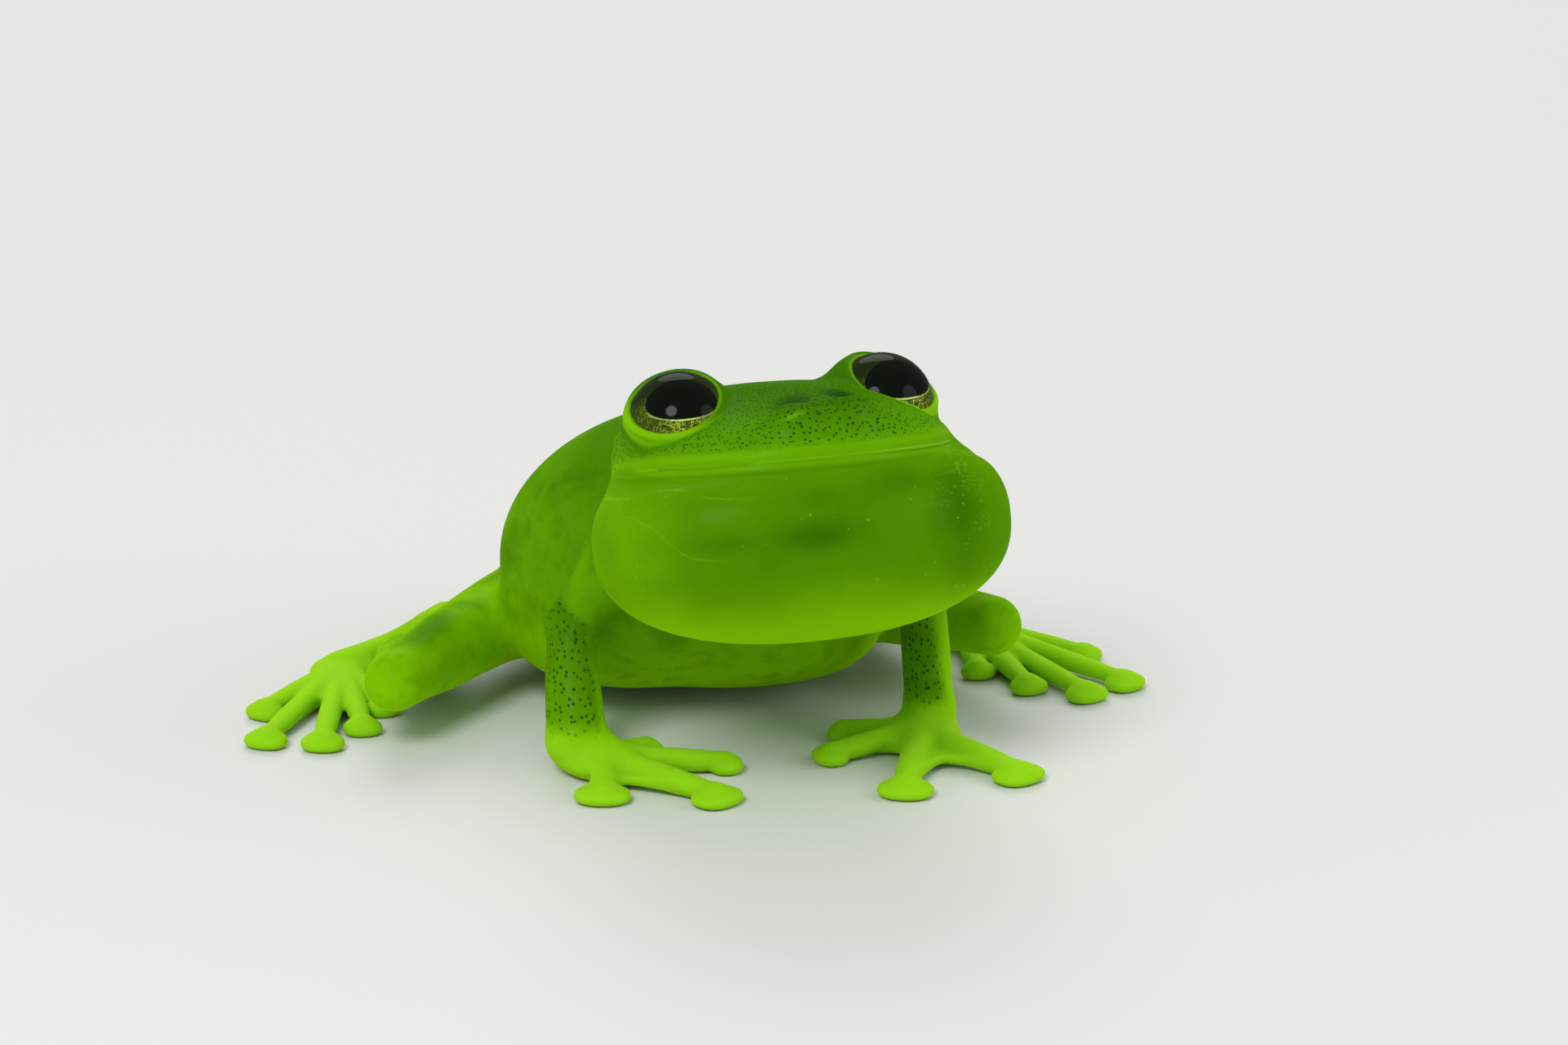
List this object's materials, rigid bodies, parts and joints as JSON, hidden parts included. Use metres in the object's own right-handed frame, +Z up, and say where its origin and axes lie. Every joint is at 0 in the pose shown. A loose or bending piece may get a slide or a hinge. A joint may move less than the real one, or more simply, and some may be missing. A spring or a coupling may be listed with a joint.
{
  "type": "glass frog model",
  "caption": "Still life-size model of a calling male glass frog, standing on straight forelegs with its throat pouch blown up.",
  "frame": {"origin": "on the floor, under the middle of the box round the whole frog", "axes": "+Z up from the floor, -Y the way the frog faces, +X towards its left side"},
  "size_m": [0.0258, 0.0224, 0.0118],
  "materials": {
    "skin": "moist, half clear lime-green skin, a little darker on the back, with small dark green dots",
    "clear_skin": "moist, almost clear yellow-green skin without dots, on the hands and feet",
    "sac_skin": "tight, shiny, half clear green skin of the blown-up throat, with fine pale veins",
    "eye": "wet black pupil in a dark iris with a fine yellow-green net, under a clear wet layer"
  },
  "bodies": {
    "root": {"head": "skin", "vocal_sac": "sac_skin", "torso": "skin", "eye_left": "eye", "eye_right": "eye", "upper_arm_left": "skin", "upper_arm_right": "skin", "forearm_left": "skin", "forearm_right": "skin", "hand_left": "clear_skin", "hand_right": "clear_skin", "thigh_left": "skin", "thigh_right": "skin", "shank_left": "skin", "shank_right": "skin", "foot_left": "clear_skin", "foot_right": "clear_skin"}
  },
  "joints": []
}
